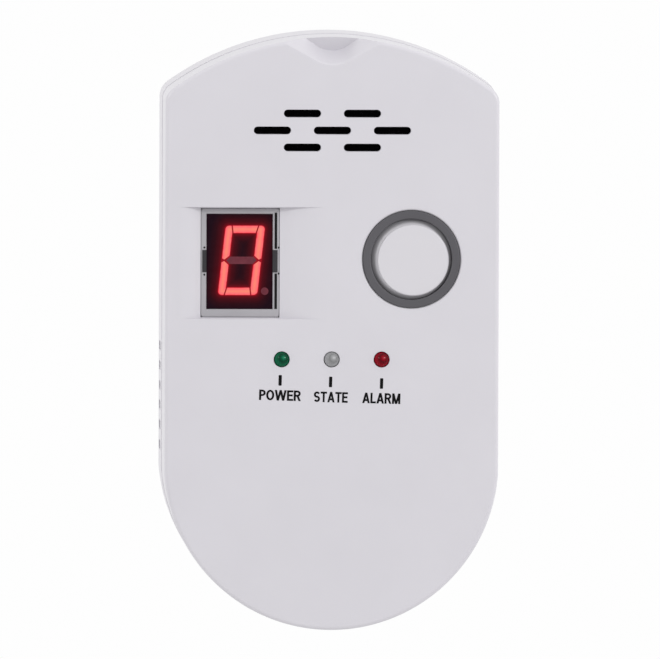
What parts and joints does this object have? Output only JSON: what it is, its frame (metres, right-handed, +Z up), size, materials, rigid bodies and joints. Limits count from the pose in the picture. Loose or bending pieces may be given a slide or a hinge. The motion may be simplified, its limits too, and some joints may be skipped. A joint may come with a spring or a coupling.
{
  "type": "plug-in gas alarm",
  "caption": "Plug-in carbon monoxide and gas alarm with an arched top, round bottom, one-digit red display, sprung test button, status lamps and a round-pin plug.",
  "frame": {"origin": "centre of the plug boss's engagement face, midway between the two pins", "axes": "+X to the viewer's right, +Y out of the back into the socket, +Z up; the front face looks along -Y"},
  "size_m": [0.068, 0.0743, 0.1196],
  "materials": {
    "white_shell": "fine satin moulded ABS",
    "rear_shell": "fine satin moulded ABS",
    "zinc_screw": "zinc plated",
    "pin_metal": "nickel plated brass",
    "carrier_plastic": "glass filled nylon",
    "label": "blank matt film",
    "button_cap": "satin",
    "button_ring": "satin dark grey",
    "frame_grey": "satin grey",
    "display_black": "semi gloss black",
    "segment_lit": "lit red",
    "segment_off": "unlit, smoky red",
    "tin": "tinned",
    "lamp_green": "tinted clear resin",
    "lamp_clear": "water clear resin",
    "lamp_red": "tinted clear resin",
    "spacer": "natural nylon",
    "board_green": "solder mask",
    "board_brown": "paper laminate",
    "speaker_metal": "stamped, satin",
    "speaker_paper": "black paper",
    "cloth_black": "fine black cloth",
    "black_plastic": "black moulded",
    "sensor_mesh": "steel mesh",
    "sensor_body": "bakelite",
    "trimmer_blue": "blue moulded",
    "capacitor_sleeve": "shrink sleeve",
    "connector_white": "nylon",
    "core_steel": "laminated steel",
    "winding_tape": "polyester tape",
    "fuse_ceramic": "ceramic",
    "varistor_blue": "epoxy dip",
    "wire_brown": "PVC",
    "wire_red": "PVC",
    "wire_black": "PVC"
  },
  "bodies": {
    "case": {"front_housing": "white_shell", "rear_housing": "rear_shell", "housing_screws": "zinc_screw", "pin_left": "pin_metal", "pin_right": "pin_metal", "pin_carrier": "carrier_plastic", "carrier_screws": "zinc_screw", "rating_plate": "label", "button_ring": "button_ring", "display_frame": "frame_grey", "display_case": "display_black", "display_face": "display_black", "display_segments": "segment_lit", "display_middle_segment": "segment_off", "display_point": "segment_off", "display_pins": "tin", "lamp_power": "lamp_green", "lamp_state": "lamp_clear", "lamp_alarm": "lamp_red", "lamp_leads": "tin", "lamp_spacers": "spacer", "main_board": "board_green", "main_board_screws": "zinc_screw", "speaker_basket": "speaker_metal", "speaker_cone": "speaker_paper", "speaker_magnet": "speaker_metal", "speaker_cloth": "cloth_black", "tact_switch": "black_plastic", "tact_pins": "tin", "sensor_base": "sensor_body", "sensor_cap": "sensor_mesh", "sensor_pins": "tin", "microcontroller": "black_plastic", "trimmer": "trimmer_blue", "chip_resistors": "black_plastic", "board_capacitor": "capacitor_sleeve", "board_connector": "connector_white", "power_board": "board_brown", "power_board_screws": "zinc_screw", "transformer_core": "core_steel", "transformer_bobbin": "black_plastic", "transformer_winding": "winding_tape", "fuse": "fuse_ceramic", "varistor": "varistor_blue", "smoothing_capacitors": "capacitor_sleeve", "rectifier_diodes": "black_plastic", "regulator": "black_plastic", "mains_leads": "wire_brown", "board_lead": "wire_red", "speaker_leads": "wire_black"},
    "button": {"test_button": "button_cap"},
    "plunger": {"tact_plunger": "black_plastic"}
  },
  "joints": [
    {"name": "button_press", "type": "slide", "parent": "case", "child": "button", "axis": [0, 1, 0], "range_m": [0, 0.0006], "stiffness_N_per_m": 100},
    {"name": "plunger_press", "type": "slide", "parent": "case", "child": "plunger", "axis": [0, 1, 0], "range_m": [0, 0.0003]}
  ],
  "couplings": [
    {"joint": "plunger_press", "follows": "button_press", "ratio": 0.5}
  ]
}
